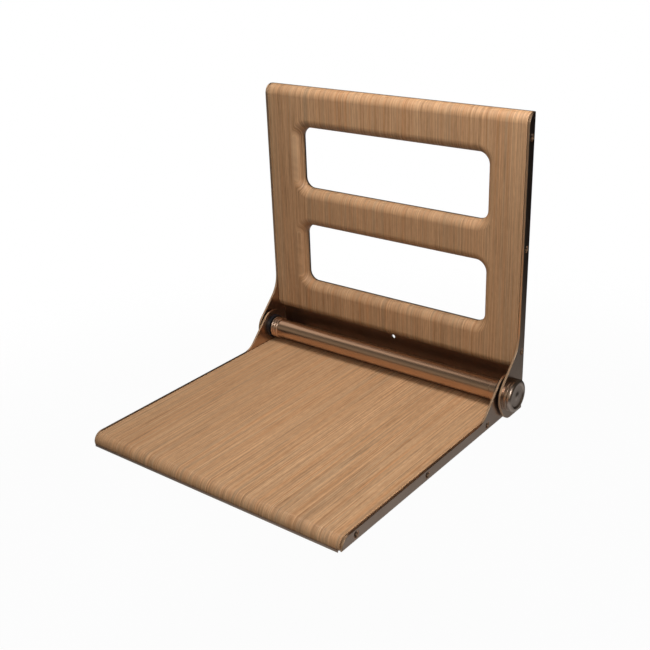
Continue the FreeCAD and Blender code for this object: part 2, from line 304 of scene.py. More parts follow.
screwLookPaintedShade = {
    "colour": (0.20, 0.14, 0.10),
    "shade": (0.13, 0.09, 0.065),
    "edge": (0.50, 0.36, 0.26),
    "stretch": (200.0, 200.0, 200.0),
    "roughness": (0.22, 0.30),
    "edgeRadius": 0.0002,
    "bumpHeight": 0.000002,
}

metalTexture = {
    "edgeTurn": (0.80, 0.97),  # between these an edge goes from worn to plain
    "cloudScale": 14.0,      # slow changes of tone over a sheet
    "speckScale": 1600.0,    # the grain of the coating
    "speckShare": 0.02,      # what a speck adds to the roughness
    "cutBlend": 0.0006,      # how wide the border of a bare edge is
    "bumpStrength": 0.3,
}


# The cut edges of the side flanges and ears: far out, facing neither sideways nor straight up.
# Their brighter copper is partly a painted highlight, which the edges that face straight up are
# left without
def cutEdgeAndHighlightShare(tree, coords, start):
    place = addNode(tree, "ShaderNodeSeparateXYZ", (-1200, 1100))
    join(tree, coords.outputs["Object"], place.inputs["Vector"])
    facing = addNode(tree, "ShaderNodeSeparateXYZ", (-1200, 900))
    join(tree, coords.outputs["Normal"], facing.inputs["Vector"])
    out = maths(tree, "ABSOLUTE", (-1000, 1100), place.outputs["X"])
    out = spread(tree, out, (-800, 1100), start, start + metalTexture["cutBlend"], 0.0, 1.0)
    sideways = maths(tree, "ABSOLUTE", (-1000, 900), facing.outputs["X"])
    edgeOn = spread(tree, sideways, (-800, 900), 0.25, 0.6, 1.0, 0.0)
    sloping = spread(tree, facing.outputs["Z"], (-800, 700), 0.90, 0.99, 1.0, 0.0)
    edge = maths(tree, "MULTIPLY", (-500, 1000), out, edgeOn)
    return maths(tree, "MULTIPLY", (-300, 1000), edge, sloping)


def metalMaterial(name, look):
    material, tree, shader = newMaterial(name)
    shader.inputs["Metallic"].default_value = 1.0
    coords = addNode(tree, "ShaderNodeTexCoord", (-1400, 0))
    mapping = addNode(tree, "ShaderNodeMapping", (-1200, -100))
    mapping.inputs["Scale"].default_value = look["stretch"]
    join(tree, coords.outputs["Object"], mapping.inputs["Vector"])
    cloud = noise(tree, coords.outputs["Object"], (-1000, 300),
                  metalTexture["cloudScale"], 4.0, 0.6)
    marks = noise(tree, mapping.outputs["Vector"], (-1000, -100), 1.0, 3.0, 0.6)
    speck = noise(tree, coords.outputs["Object"], (-1000, -400),
                  metalTexture["speckScale"], 2.0, 0.6)
    share = spread(tree, cloud, (-800, 300), 0.35, 0.65, 0.0, 1.0)
    tone = mixColour(tree, "MIX", (-500, 300), share, opaque(look["colour"]), opaque(look["shade"]))
    edge = edgeShare(tree, (-800, 700), look["edgeRadius"], metalTexture["edgeTurn"])
    worn = spread(tree, cloud, (-500, 600), 0.3, 0.6, 0.3, 0.6)
    worn = maths(tree, "MULTIPLY", (-300, 600), edge, worn)
    tone = mixColour(tree, "MIX", (0, 300), worn, tone, opaque(look["edge"]))
    low, high = look["roughness"]
    rough = spread(tree, marks, (-500, -100), 0.3, 0.7, low, high)
    rough = maths(tree, "MULTIPLY_ADD", (0, -100), speck, metalTexture["speckShare"], rough)
    if "cutEdgeAndHighlight" in look:
        cut = cutEdgeAndHighlightShare(tree, coords, look["cutFrom"])
        tone = mixColour(tree, "MIX", (300, 300), cut, tone, opaque(look["cutEdgeAndHighlight"]))
        gain = maths(tree, "MULTIPLY", (200, -200), cut, look["cutRoughness"] - high)
        rough = maths(tree, "ADD", (400, -100), rough, gain)
    join(tree, tone, shader.inputs["Base Color"])
    join(tree, rough, shader.inputs["Roughness"])
    height = maths(tree, "ADD", (0, -400), marks, speck)
    bump(tree, height, shader, (500, -300), metalTexture["bumpStrength"], look["bumpHeight"])
    return material


# Black polymer and rubber

polymerLook = {
    "colour": (0.008, 0.009, 0.012),
    "worn": (0.022, 0.024, 0.028),
    "grain": 2400.0,
    "roughness": (0.34, 0.48),
    "edgeRadius": 0.0005,
    "edgeTurn": (0.75, 0.97),
    "cloudScale": 60.0,
    "bumpStrength": 0.4,
    "bumpHeight": 0.00003,
}

rubberLook = {
    **polymerLook,
    "colour": (0.020, 0.020, 0.020),
    "worn": (0.050, 0.048, 0.045),
    "grain": 900.0,
    "roughness": (0.62, 0.80),
}


def blackMaterial(name, look):
    material, tree, shader = newMaterial(name)
    coords = addNode(tree, "ShaderNodeTexCoord", (-1200, 0))
    fine = noise(tree, coords.outputs["Object"], (-1000, 0), look["grain"], 2.0, 0.5)
    cloud = noise(tree, coords.outputs["Object"], (-1000, 300), look["cloudScale"], 3.0, 0.6)
    edge = edgeShare(tree, (-1000, 700), look["edgeRadius"], look["edgeTurn"])
    worn = maths(tree, "MULTIPLY", (-400, 600), edge, cloud)
    tone = mixColour(tree, "MIX", (-100, 300), worn, opaque(look["colour"]), opaque(look["worn"]))
    join(tree, tone, shader.inputs["Base Color"])
    low, high = look["roughness"]
    join(tree, spread(tree, cloud, (-400, 0), 0.3, 0.7, low, high), shader.inputs["Roughness"])
    bump(tree, fine, shader, (400, -300), look["bumpStrength"], look["bumpHeight"])
    return material


# Both boards are one timber; the seat's is painted lighter and the back's darker, a painted light
# and shade
backTimber = timberMaterial("backTimber", depthAxis="Y", seed=3.0, contrast=0.20, paintedLightLevel=0.95)
seatTimber = timberMaterial("seatTimber", depthAxis="Z", seed=11.0, contrast=0.25, paintedLightLevel=1.055)
backTrayMetal = metalMaterial("backTrayMetal", {**trayLook, "cutFrom": backCutFrom})
seatTrayMetal = metalMaterial("seatTrayMetal", trayLook)
tubeMetal = metalMaterial("tubeMetal", tubeLook)
hingeMetal = metalMaterial("hingeMetal", hingeLook)
capMetalPaintedReflection = metalMaterial("capMetalPaintedReflection", capLookPaintedReflection)
screwMetalPaintedShade = metalMaterial("screwMetalPaintedShade", screwLookPaintedShade)
blackPolymer = blackMaterial("blackPolymer", polymerLook)
blackRubber = blackMaterial("blackRubber", rubberLook)


def dress(names, material):
    for name in names:
        mesh = nodes[name].data
        mesh.materials.clear()
        mesh.materials.append(material)


dress(["back_panel"], backTimber)
dress(["seat_panel"], seatTimber)
dress(["back_tray"], backTrayMetal)
dress(["seat_tray"], seatTrayMetal)
dress(["hinge_tube"], tubeMetal)
dress(["collar_left", "collar_right", "outer_boss"], hingeMetal)
dress(["hinge_cap", "head_washer", "hinge_shaft"], hingeMetal)
dress(["back_screws_left", "back_screws_right"], screwMetalPaintedShade)
dress(["seat_screws_left", "seat_screws_right"], screwMetalPaintedShade)
dress(["bush_left", "bush_right", "ear_spacer_left", "ear_spacer_right"], blackPolymer)
dress(["stop_pad_left", "stop_pad_right"], blackRubber)
print("finishes on", len(nodes), "nodes")


# Geometry Nodes helpers

weldGap = 1e-6  # points closer than this are one point


# A new tree with a named input for each size, which is a Float unless another kind is given
def startTree(name, sizes, **otherKinds):
    tree = bpy.data.node_groups.new(name, "GeometryNodeTree")
    tree.interface.new_socket("Geometry", in_out="OUTPUT", socket_type="NodeSocketGeometry")
    for label, kind in {**dict.fromkeys(sizes, "Float"), **otherKinds}.items():
        tree.interface.new_socket(label, in_out="INPUT", socket_type="NodeSocket" + kind)
    start = addNode(tree, "NodeGroupInput", (-2600, 0))
    return tree, start.outputs


# One value out of a list, chosen by the number of a ring, corner or section
def pick(tree, place, index, values):
    node = addNode(tree, "GeometryNodeIndexSwitch", place, data_type="FLOAT")
    while len(node.index_switch_items) < len(values):
        node.index_switch_items.new()
    join(tree, index, node.inputs["Index"])
    for socket, value in zip(node.inputs[1:], values):
        feed(tree, socket, value)
    return node.outputs["Output"]


# A flat grid, with the number of each point's ring and of its step round the ring
def numberedGrid(tree, ringCount, steps):
    grid = addNode(tree, "GeometryNodeMeshGrid", (-600, 700))
    for label, value in (("Size X", ringCount - 1), ("Size Y", steps),
                         ("Vertices X", ringCount), ("Vertices Y", steps + 1)):
        grid.inputs[label].default_value = value
    spot = addNode(tree, "GeometryNodeInputPosition", (-2400, 700))
    split = addNode(tree, "ShaderNodeSeparateXYZ", (-2200, 700))
    join(tree, spot.outputs["Position"], split.inputs["Vector"])
    ring = maths(tree, "ADD", (-2000, 800), split.outputs["X"], (ringCount - 1) / 2)
    ring = maths(tree, "ROUND", (-1800, 800), ring)
    step = maths(tree, "ADD", (-2000, 600), split.outputs["Y"], steps / 2)
    step = maths(tree, "ROUND", (-1800, 600), step)
    return grid.outputs["Mesh"], ring, step


# Puts the grid's points in place and welds its seam
def welded(tree, geometry, place):
    bend = addNode(tree, "GeometryNodeSetPosition", (200, 700))
    join(tree, geometry, bend.inputs["Geometry"])
    join(tree, place, bend.inputs["Position"])
    weld = addNode(tree, "GeometryNodeMergeByDistance", (400, 700))
    weld.inputs["Distance"].default_value = weldGap
    join(tree, bend.outputs["Geometry"], weld.inputs["Geometry"])
    return weld.outputs["Geometry"]


# Rings rolled round the X axis: describe gives a ring's place along the axis, its radius and how
# far it is a hexagon
def rolled(tree, ringCount, steps, describe):
    grid, ring, step = numberedGrid(tree, ringCount, steps)
    turn = maths(tree, "MULTIPLY", (-1600, 700), step, 2 * math.pi / steps)
    along, radius, hexagon = describe(ring)
    sector = maths(tree, "MODULO", (-1600, 600), turn, math.pi / 3)
    sector = maths(tree, "SUBTRACT", (-1400, 600), sector, math.pi / 6)
    stretch = maths(tree, "DIVIDE", (-1000, 600), 1.0, maths(tree, "COSINE", (-1200, 600), sector))
    extra = maths(tree, "SUBTRACT", (-800, 600), stretch, 1.0)
    extra = maths(tree, "MULTIPLY", (-600, 500), extra, hexagon)
    reach = maths(tree, "MULTIPLY_ADD", (-400, 500), radius, extra, radius)
    place = addNode(tree, "ShaderNodeCombineXYZ", (0, 500))
    join(tree, along, place.inputs["X"])
    for axis, operation, top in (("Y", "COSINE", 500), ("Z", "SINE", 300)):
        share = maths(tree, operation, (-400, top - 200), turn)
        join(tree, maths(tree, "MULTIPLY", (-200, top), reach, share), place.inputs[axis])
    return welded(tree, grid, place.outputs["Vector"])


# Both sides of the seat: the shape itself and its mirror image across x = 0
def mirroredPair(tree, geometry, place):
    pair = addNode(tree, "GeometryNodeJoinGeometry", (place[0] + 200, place[1]))
    mirror = addNode(tree, "GeometryNodeTransform", (place[0], place[1] - 200))
    mirror.inputs["Scale"].default_value = (-1.0, 1.0, 1.0)
    join(tree, geometry, mirror.inputs["Geometry"])
    join(tree, geometry, pair.inputs["Geometry"])
    join(tree, mirror.outputs["Geometry"], pair.inputs["Geometry"])
    return pair.outputs["Geometry"]


def finishTree(tree, geometry, material):
    real = addNode(tree, "GeometryNodeRealizeInstances", (2000, 400))
    join(tree, geometry, real.inputs["Geometry"])
    paint = addNode(tree, "GeometryNodeSetMaterial", (2200, 400))
    join(tree, real.outputs["Geometry"], paint.inputs["Geometry"])
    join(tree, material, paint.inputs["Material"])
    output = addNode(tree, "NodeGroupOutput", (2400, 400))
    join(tree, paint.outputs["Geometry"], output.inputs["Geometry"])


# Moves a shape that was rolled round the X axis out to the hinge line
def onHingeLine(tree, geometry, given):
    moved = addNode(tree, "GeometryNodeTransform", (700, 400))
    join(tree, geometry, moved.inputs["Geometry"])
    join(tree, given["Axis"], moved.inputs["Translation"])
    return moved.outputs["Geometry"]


# Runs a tree once, keeps the result as a plain mesh and drops the modifier. Edges that bend more
# than the crease angle, in radians, stay sharp
def grow(name, tree, values, creaseAngle):
    piece = bpy.data.objects.new(name, bpy.data.meshes.new(name))
    scene.collection.objects.link(piece)
    modifier = piece.modifiers.new("grow", "NODES")
    modifier.node_group = tree
    for item in tree.interface.items_tree:
        if item.in_out == "INPUT":
            modifier[item.identifier] = values[item.name]
    graph = bpy.context.evaluated_depsgraph_get()
    grown = bpy.data.meshes.new_from_object(piece.evaluated_get(graph))
    piece.modifiers.remove(modifier)
    piece.data = grown
    shape = bmesh.new()
    shape.from_mesh(grown)
    bmesh.ops.remove_doubles(shape, verts=shape.verts, dist=weldGap)
    bmesh.ops.recalc_face_normals(shape, faces=shape.faces)
    for face in shape.faces:
        face.smooth = True
    for edge in shape.edges:
        edge.smooth = edge.calc_face_angle(0.0) < creaseAngle
    shape.to_mesh(grown)
    shape.free()
    print(name, "grown,", len(grown.polygons), "faces")
    return piece


# Side screws: countersunk, with a hexagon socket, three in a row on each side

screwSizes = {
    "Head Radius": 0.0034,
    "Shank Radius": 0.00245,
    "Length": 0.022,
    "Land": 0.0002,
    "Rim Round": 0.0004,
    "Socket Width": 0.003,
    "Socket Depth": 0.0018,
    "Count": 3,
    "Seed": 4,               # turns each socket its own way
}

screwRows = {
    "backScrews": {"First": (0.1982, -0.00925, -0.137), "Step": (0.0, 0.0, 0.137)},
    "seatScrews": {"First": (0.1922, -0.0815, -0.21075), "Step": (0.0, -0.139, 0.0)},
}
screwSteps = 48              # corners round a screw


def screwTree():
    tree, given = startTree("sideScrewRow", screwSizes, Count="Int", Seed="Int",
                            First="Vector", Step="Vector", Material="Material")
    flat = maths(tree, "MULTIPLY", (-2300, -200), given["Socket Width"], 0.5)
    floor = maths(tree, "MULTIPLY", (-2300, -350), given["Socket Depth"], -1.0)
    point = maths(tree, "MULTIPLY", (-2100, -350), floor, 1.35)  # the drilled point in the floor
    lip = maths(tree, "MULTIPLY", (-2300, -500), given["Rim Round"], 0.4)  # a bevel at the mouth
    lipIn = maths(tree, "MULTIPLY", (-2100, -500), lip, -1.0)
    mouth = maths(tree, "ADD", (-2100, -200), flat, lip)
    rim = maths(tree, "SUBTRACT", (-2100, -650), given["Head Radius"], given["Rim Round"])
    # the middle of the rim's quarter round lies 0.7 of its radius out and 0.3 of it in
    rimMiddle = maths(tree, "MULTIPLY_ADD", (-1900, -650), given["Rim Round"], 0.7, rim)
    rimMiddleIn = maths(tree, "MULTIPLY", (-1900, -800), given["Rim Round"], -0.3)
    rimIn = maths(tree, "MULTIPLY", (-1900, -950), given["Rim Round"], -1.0)
    land = maths(tree, "SUBTRACT", (-1700, -950), rimIn, given["Land"])
    taper = maths(tree, "SUBTRACT", (-1900, -1100), given["Head Radius"], given["Shank Radius"])
    neck = maths(tree, "SUBTRACT", (-1500, -950), land, taper)
    tip = maths(tree, "MULTIPLY", (-1900, -1250), given["Length"], -1.0)
    tipStart = maths(tree, "MULTIPLY", (-1700, -1250), tip, 0.96)  # a short blunt tip
    tipRadius = maths(tree, "MULTIPLY", (-1700, -1400), given["Shank Radius"], 0.6)
    rings = [  # place along the screw, radius, hexagon share
        (point, 0.0, 0.0),
        (floor, flat, 1.0),
        (lipIn, flat, 1.0),
        (0.0, mouth, 1.0),
        (0.0, rim, 0.0),
        (rimMiddleIn, rimMiddle, 0.0),
        (rimIn, given["Head Radius"], 0.0),
        (land, given["Head Radius"], 0.0),
        (neck, given["Shank Radius"], 0.0),
        (tipStart, given["Shank Radius"], 0.0),
        (tip, tipRadius, 0.0),
        (tip, 0.0, 0.0),
    ]

    def describe(ring):
        columns = []
        for column, values in enumerate(zip(*rings)):
            columns.append(pick(tree, (-1200, -200 - 400 * column), ring, values))
        return columns

    screw = rolled(tree, len(rings), screwSteps, describe)
    row = addNode(tree, "GeometryNodeMeshLine", (400, 200))
    join(tree, given["Count"], row.inputs["Count"])
    join(tree, given["First"], row.inputs["Start Location"])
    join(tree, given["Step"], row.inputs["Offset"])
    chance = addNode(tree, "FunctionNodeRandomValue", (400, -100), data_type="FLOAT")
    chance.inputs[3].default_value = math.pi / 3  # the highest number, one side of the hexagon
    join(tree, given["Seed"], chance.inputs["Seed"])
    turned = addNode(tree, "ShaderNodeCombineXYZ", (600, -100))
    join(tree, chance.outputs[1], turned.inputs["X"])
    placed = addNode(tree, "GeometryNodeInstanceOnPoints", (800, 400))
    join(tree, row.outputs["Mesh"], placed.inputs["Points"])
    join(tree, screw, placed.inputs["Instance"])
    join(tree, turned.outputs["Vector"], placed.inputs["Rotation"])
    bothSides = mirroredPair(tree, placed.outputs["Instances"], (1100, 400))
    finishTree(tree, bothSides, given["Material"])
    return tree


screwRowTree = screwTree()
backScrews = grow(
    "backScrews", screwRowTree,
    {**screwSizes, **screwRows["backScrews"], "Material": screwMetalPaintedShade}, creaseAngle=0.6)
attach(backScrews, "wall_frame")
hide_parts("back_screws_left", "back_screws_right")
seatScrews = grow(
    "seatScrews", screwRowTree,
    {**screwSizes, **screwRows["seatScrews"], "Material": screwMetalPaintedShade}, creaseAngle=0.6)
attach(seatScrews, "seat")
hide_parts("seat_screws_left", "seat_screws_right")


# Seat board: a quarter round nose, and a flat tail that runs in under the tube

boardSizes = {
    "Half Width": 0.1904,
    "Front": -0.386,
    "Rear": -0.0305,
    "Under": -0.217,
    "Top": -0.2045,
    "Nose Round": 0.0122,
    "Tail Round": 0.0030,
    "Under Round": 0.0015,
    "Edge Round": 0.0008,
}


def boardTree():
    tree, given = startTree("seatBoard", boardSizes, Material="Material")
    cornerPoints = 14  # points round each of the outline's four corners
    laps = 5           # sections over each rounded side edge
    corners = [        # where the corner is, which way is inwards, and its radius
        ("Rear", -1, "Top", -1, "Tail Round"),
        ("Front", 1, "Top", -1, "Nose Round"),
        ("Front", 1, "Under", 1, "Under Round"),
        ("Rear", -1, "Under", 1, "Under Round"),
    ]
    sections = [(-1, 0.0, 1.0, 1.0)]  # side, way in from the side, inset, and share of the middle
    for number in range(laps):
        angle = math.pi / 2 * number / (laps - 1)
        sections.append((-1, 1.0 - math.cos(angle), 1.0 - math.sin(angle), 0.0))
    sections += [(1, *values[1:]) for values in reversed(sections)]

    points = len(corners) * cornerPoints
    grid, section, point = numberedGrid(tree, len(sections), points)
    point = maths(tree, "MODULO", (-1600, 600), point, points)
    corner = maths(tree, "FLOOR", (-1200, 600),
                   maths(tree, "DIVIDE", (-1400, 600), point, cornerPoints))
    part = maths(tree, "SUBTRACT", (-1200, 450), point,
                 maths(tree, "MULTIPLY", (-1400, 450), corner, cornerPoints))
    part = maths(tree, "DIVIDE", (-1000, 450), part, cornerPoints - 1)
    turn = maths(tree, "MULTIPLY", (-800, 500),
                 maths(tree, "ADD", (-1000, 600), corner, part), math.pi / 2)

    side, wayIn, inset, middleShare = [
        pick(tree, (-1400, 200 - 300 * column), section, values)
        for column, values in enumerate(zip(*sections))]
    radius = pick(tree, (-1000, 200), corner, [given[item[4]] for item in corners])
    reach = maths(tree, "SUBTRACT", (-400, 200), radius,
                  maths(tree, "MULTIPLY", (-600, 200), inset, given["Edge Round"]))
    place = addNode(tree, "ShaderNodeCombineXYZ", (0, 500))
    for column, axis, operation, low, high in ((0, "Y", "COSINE", "Front", "Rear"),
                                               (2, "Z", "SINE", "Under", "Top")):
        top = -100 - 300 * column
        edge = pick(tree, (-1000, top), corner, [given[item[column]] for item in corners])
        inwards = pick(tree, (-1000, top - 200), corner, [item[column + 1] for item in corners])
        spot = maths(tree, "MULTIPLY_ADD", (-700, top), inwards, radius, edge)
        share = maths(tree, operation, (-700, top - 200), turn)
        spot = maths(tree, "MULTIPLY_ADD", (-500, top), reach, share, spot)
        centre = maths(tree, "ADD", (-700, top - 400), given[low], given[high])
        centre = maths(tree, "MULTIPLY", (-500, top - 400), centre, 0.5)
        gap = maths(tree, "SUBTRACT", (-300, top - 400), centre, spot)
        spot = maths(tree, "MULTIPLY_ADD", (-100, top), gap, middleShare, spot)
        join(tree, spot, place.inputs[axis])
    half = maths(tree, "MULTIPLY", (-400, 900), wayIn, given["Edge Round"])
    half = maths(tree, "SUBTRACT", (-200, 900), given["Half Width"], half)
    join(tree, maths(tree, "MULTIPLY", (-100, 900), half, side), place.inputs["X"])
    finishTree(tree, welded(tree, grid, place.outputs["Vector"]), given["Material"])
    return tree


seatBoard = grow("seatBoard", boardTree(), {**boardSizes, "Material": seatTimber}, creaseAngle=0.5)
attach(seatBoard, "seat")
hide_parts("seat_panel")


# Ribbed rings on the hinge line: the tube's two collars, and the boss outside the right ear

leftCollarSizes = {
    "Start": 0.1735,
    "End": 0.186,
    "Radius": 0.0152,
    "Bore": 0.00805,
    "Ribs": 3,
    "Spacing": 1.0,          # below 1 the first rib is narrower than the rest
    "Groove Depth": 0.0017,
    "Fullness": 2.2,         # higher is a flatter rib with a narrower groove
    "Spigot Start": 0.1645,
    "Spigot Radius": 0.0109,
    "Mirrored": True,
}

# The right collar shows no ribs in the photo, only a smooth end in line with the tube
rightCollarSizes = {
    **leftCollarSizes,
    "Start": 0.1765,
    "Radius": 0.0139,
    "Ribs": 1,
    "Groove Depth": 0.0006,
    "Fullness": 14.0,
    "Mirrored": False,
}

bossSizes = {
    "Start": 0.200,
    "End": 0.2064,
    "Radius": 0.0213,
    "Bore": 0.012,
    "Ribs": 2,
    "Spacing": 0.55,
    "Groove Depth": 0.0018,
    "Fullness": 9.0,
    "Spigot Start": 0.200,
    "Spigot Radius": 0.0125,
    "Mirrored": False,
}

hingeLine = (0.0, -0.037, -0.185)
hingeSteps = 160             # corners round a ring or cap on the hinge line
ribRings = 96                # rings along the ribs, enough for round shoulders


def ribTree():
    tree, given = startTree("ribbedRing", leftCollarSizes, Ribs="Int", Mirrored="Bool",
                            Axis="Vector", Material="Material")
    inner = 3  # rings of the bore and the spigot before the ribs start

    def describe(ring):
        share = maths(tree, "SUBTRACT", (-2000, -200), ring, inner)
        share = maths(tree, "DIVIDE", (-1800, -200), share, ribRings - 1)
        length = maths(tree, "SUBTRACT", (-2000, -350), given["End"], given["Start"])
        ribAlong = maths(tree, "MULTIPLY_ADD", (-1600, -350), share, length, given["Start"])
        wave = maths(tree, "MAXIMUM", (-2000, -50), share, 0.0)
        wave = maths(tree, "POWER", (-1800, -50), wave, given["Spacing"])
        # the small number keeps a ring that lies on a groove's bottom on its own side of it
        wave = maths(tree, "MULTIPLY_ADD", (-1600, -100), wave, given["Ribs"], 1e-5)
        wave = maths(tree, "FRACT", (-1400, -100), wave)
        wave = maths(tree, "MULTIPLY_ADD", (-1200, -100), wave, 2.0, -1.0)
        wave = maths(tree, "ABSOLUTE", (-1000, -100), wave)
        wave = maths(tree, "POWER", (-800, -100), wave, given["Fullness"])
        dip = maths(tree, "MULTIPLY", (-600, -200), wave, given["Groove Depth"])
        ribRadius = maths(tree, "SUBTRACT", (-400, -200), given["Radius"], dip)
        first = maths(tree, "MINIMUM", (-1600, -600), ring, inner)
        past = maths(tree, "SUBTRACT", (-1800, -800), ring, ribRings + inner - 1)
        past = maths(tree, "MAXIMUM", (-1600, -800), past, 0.0)
        part = maths(tree, "ADD", (-1400, -600), first, past)
        along = pick(tree, (-1000, -500), part, [
            given["Spigot Start"], given["Spigot Start"], given["Start"], ribAlong,
            given["End"], given["Spigot Start"]])
        radius = pick(tree, (-1000, -900), part, [
            given["Bore"], given["Spigot Radius"], given["Spigot Radius"], ribRadius,
            given["Bore"], given["Bore"]])
        return along, radius, 0.0

    ring = rolled(tree, ribRings + inner + 2, hingeSteps, describe)
    side = pick(tree, (700, 100), given["Mirrored"], [1.0, -1.0])
    scale = addNode(tree, "ShaderNodeCombineXYZ", (900, 100))
    scale.inputs["Y"].default_value = 1.0
    scale.inputs["Z"].default_value = 1.0
    join(tree, side, scale.inputs["X"])
    mirror = addNode(tree, "GeometryNodeTransform", (1100, 400))
    join(tree, onHingeLine(tree, ring, given), mirror.inputs["Geometry"])
    join(tree, scale.outputs["Vector"], mirror.inputs["Scale"])
    finishTree(tree, mirror.outputs["Geometry"], given["Material"])
    return tree


ribbedRingTree = ribTree()
collarLeft = grow(
    "collarLeft", ribbedRingTree,
    {**leftCollarSizes, "Axis": hingeLine, "Material": hingeMetal}, creaseAngle=0.9)
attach(collarLeft, "wall_frame")
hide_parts("collar_left")
collarRight = grow(
    "collarRight", ribbedRingTree,
    {**rightCollarSizes, "Axis": hingeLine, "Material": tubeMetal}, creaseAngle=0.9)
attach(collarRight, "wall_frame")
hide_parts("collar_right")
bossRing = grow(
    "bossRing", ribbedRingTree,
    {**bossSizes, "Axis": hingeLine, "Material": hingeMetal}, creaseAngle=0.9)
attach(bossRing, "wall_frame")
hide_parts("outer_boss")


# Cap nut on the right end of the shaft: a rounded rim, a shallow dish and a low dome in the middle

capSizes = {
    "Start": 0.2005,
    "End": 0.212,
    "Radius": 0.0213,
    "Neck Start": 0.2064,
    "Neck Radius": 0.0202,
    "Neck End": 0.2072,
    "Spigot Radius": 0.0119,
    "Shoulder": 0.0034,
    "Dish Radius": 0.0166,
    "Floor Radius": 0.0138,
    "Dish Depth": 0.0014,
    "Dome Radius": 0.0066,
    "Dome Height": 0.0009,
}
capLaps = 8                  # rings over the shoulder, the dish's wall and the dome


# Rises from 0 to 1 as a smooth wave
def waveRise(share):
    return (1 - math.cos(math.pi * share)) / 2


def capTree():
    tree, given = startTree("capNut", capSizes, Axis="Vector", Material="Material")
    rings = [  # place along the hinge line, radius
        (given["Start"], 0.0),
        (given["Start"], given["Spigot Radius"]),
        (given["Neck Start"], given["Spigot Radius"]),
        (given["Neck Start"], given["Neck Radius"]),
        (given["Neck End"], given["Neck Radius"]),
        (given["Neck End"], given["Radius"]),
    ]
    shares = [number / capLaps for number in range(capLaps + 1)]

    for number, share in enumerate(shares):  # the round shoulder of the rim
        angle = math.pi / 2 * share
        top = -200 - 40 * number
        along = maths(tree, "MULTIPLY_ADD", (-2300, top), given["Shoulder"],
                      math.sin(angle) - 1, given["End"])
        radius = maths(tree, "MULTIPLY_ADD", (-2100, top), given["Shoulder"],
                       math.cos(angle) - 1, given["Radius"])
        rings.append((along, radius))
    floor = maths(tree, "SUBTRACT", (-2300, -700), given["End"], given["Dish Depth"])
    wall = maths(tree, "SUBTRACT", (-2300, -850), given["Dish Radius"], given["Floor Radius"])
    for number, share in enumerate(shares):  # the dish's wall, from the rim down to the floor
        top = -1000 - 40 * number
        along = maths(tree, "MULTIPLY_ADD", (-2300, top), given["Dish Depth"],
                      -waveRise(share), given["End"])
        radius = maths(tree, "MULTIPLY_ADD", (-2100, top), wall, -share, given["Dish Radius"])
        rings.append((along, radius))
    for number, share in enumerate(shares):  # the low dome in the middle
        top = -1500 - 40 * number
        along = maths(tree, "MULTIPLY_ADD", (-2300, top), given["Dome Height"],
                      waveRise(share), floor)
        radius = maths(tree, "MULTIPLY", (-2100, top), given["Dome Radius"], 1 - share)
        rings.append((along, radius))

    def describe(ring):
        along, radius = [pick(tree, (-1200, -200 - 900 * column), ring, values)
                         for column, values in enumerate(zip(*rings))]
        return along, radius, 0.0

    turned = rolled(tree, len(rings), hingeSteps, describe)
    finishTree(tree, onHingeLine(tree, turned, given), given["Material"])
    return tree


capNut = grow(
    "capNut", capTree(),
    {**capSizes, "Axis": hingeLine, "Material": capMetalPaintedReflection}, creaseAngle=0.9)
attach(capNut, "wall_frame")
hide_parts("hinge_cap")


# Studio

studio = {
    "floorDrop": 0.45,       # the seat hangs this far above the floor
    "azimuth": 38.523,       # the camera's place round the object, in degrees
    "elevation": 23.877,
    "roll": 2.202,
    "cameraPlace": (0.7143, -1.0522, 0.4134),
    "lens": 55.22,           # in millimetres, on a sensor of this width
    "sensor": 36.0,
    "skyStrength": 1.0,
    "skyBehind": (0.15, 0.15, 0.15),  # share of the sky that is left behind the object
    "skyTurn": 0.35,         # how far to the front and to the back the sky changes over
    "sky": [                 # a soft wall all round: dark at the horizon, lighter above it
        (0.0, (0.02, 0.02, 0.022)),
        (0.30, (0.02, 0.022, 0.025)),
        (0.40, (0.004, 0.004, 0.005)),
        (0.51, (0.004, 0.004, 0.004)),
        (0.57, (0.34, 0.29, 0.22)),
        (0.70, (0.30, 0.26, 0.20)),
        (0.80, (0.13, 0.115, 0.09)),
        (1.0, (0.05, 0.05, 0.05)),
    ],
    "lamps": [               # name, place, aim, size, power, colour, seen in reflections
        ("topLamp", (0.15, -0.24, 0.80), (0.1, -0.1, 0.0), 0.45, 8.1, (1.0, 1.0, 1.0), False),
        ("frontLamp", (1.2, -1.6, 1.3), (0.0, -0.1, 0.0), 1.0, 14.5, (1.0, 1.0, 1.0), True),
        ("tubeLamp", (-0.85, -0.05, 0.95), hingeLine, 0.95, 2.1, (1.0, 0.84, 0.70), True),
    ],
    "floorColour": (0.48, 0.52, 0.56),
    "floorWhite": 0.97,      # share of plain white that the camera sees on the floor
    "floorMirror": 0.10,     # share of that white that reflections in the metal see
    "wallMirror": 0.01,      # the same for the wall all round, which the photo's metal shows dark
    "floorFadeStart": 0.85,
    "floorFadeEnd": 1.75,
}


def makeCamera():
    azimuth = math.radians(studio["azimuth"])
    elevation = math.radians(studio["elevation"])
    roll = math.radians(studio["roll"])
    forward = Vector((
        -math.sin(azimuth) * math.cos(elevation),
        math.cos(azimuth) * math.cos(elevation),
        -math.sin(elevation),
    ))
    right = Vector((math.cos(azimuth), math.sin(azimuth), 0.0))
    down = forward.cross(right)
    rolledRight = right * math.cos(roll) + down * math.sin(roll)
    rolledDown = down * math.cos(roll) - right * math.sin(roll)
    turn = Matrix((rolledRight, -rolledDown, -forward)).transposed()
    data = bpy.data.cameras.new("studioCamera")
    data.sensor_width = studio["sensor"]
    data.lens = studio["lens"]
    data.clip_start = 0.01
    data.clip_end = 100.0
    camera = bpy.data.objects.new("studioCamera", data)
    camera.matrix_world = Matrix.Translation(studio["cameraPlace"]) @ turn.to_4x4()
    scene.collection.objects.link(camera)
    scene.camera = camera


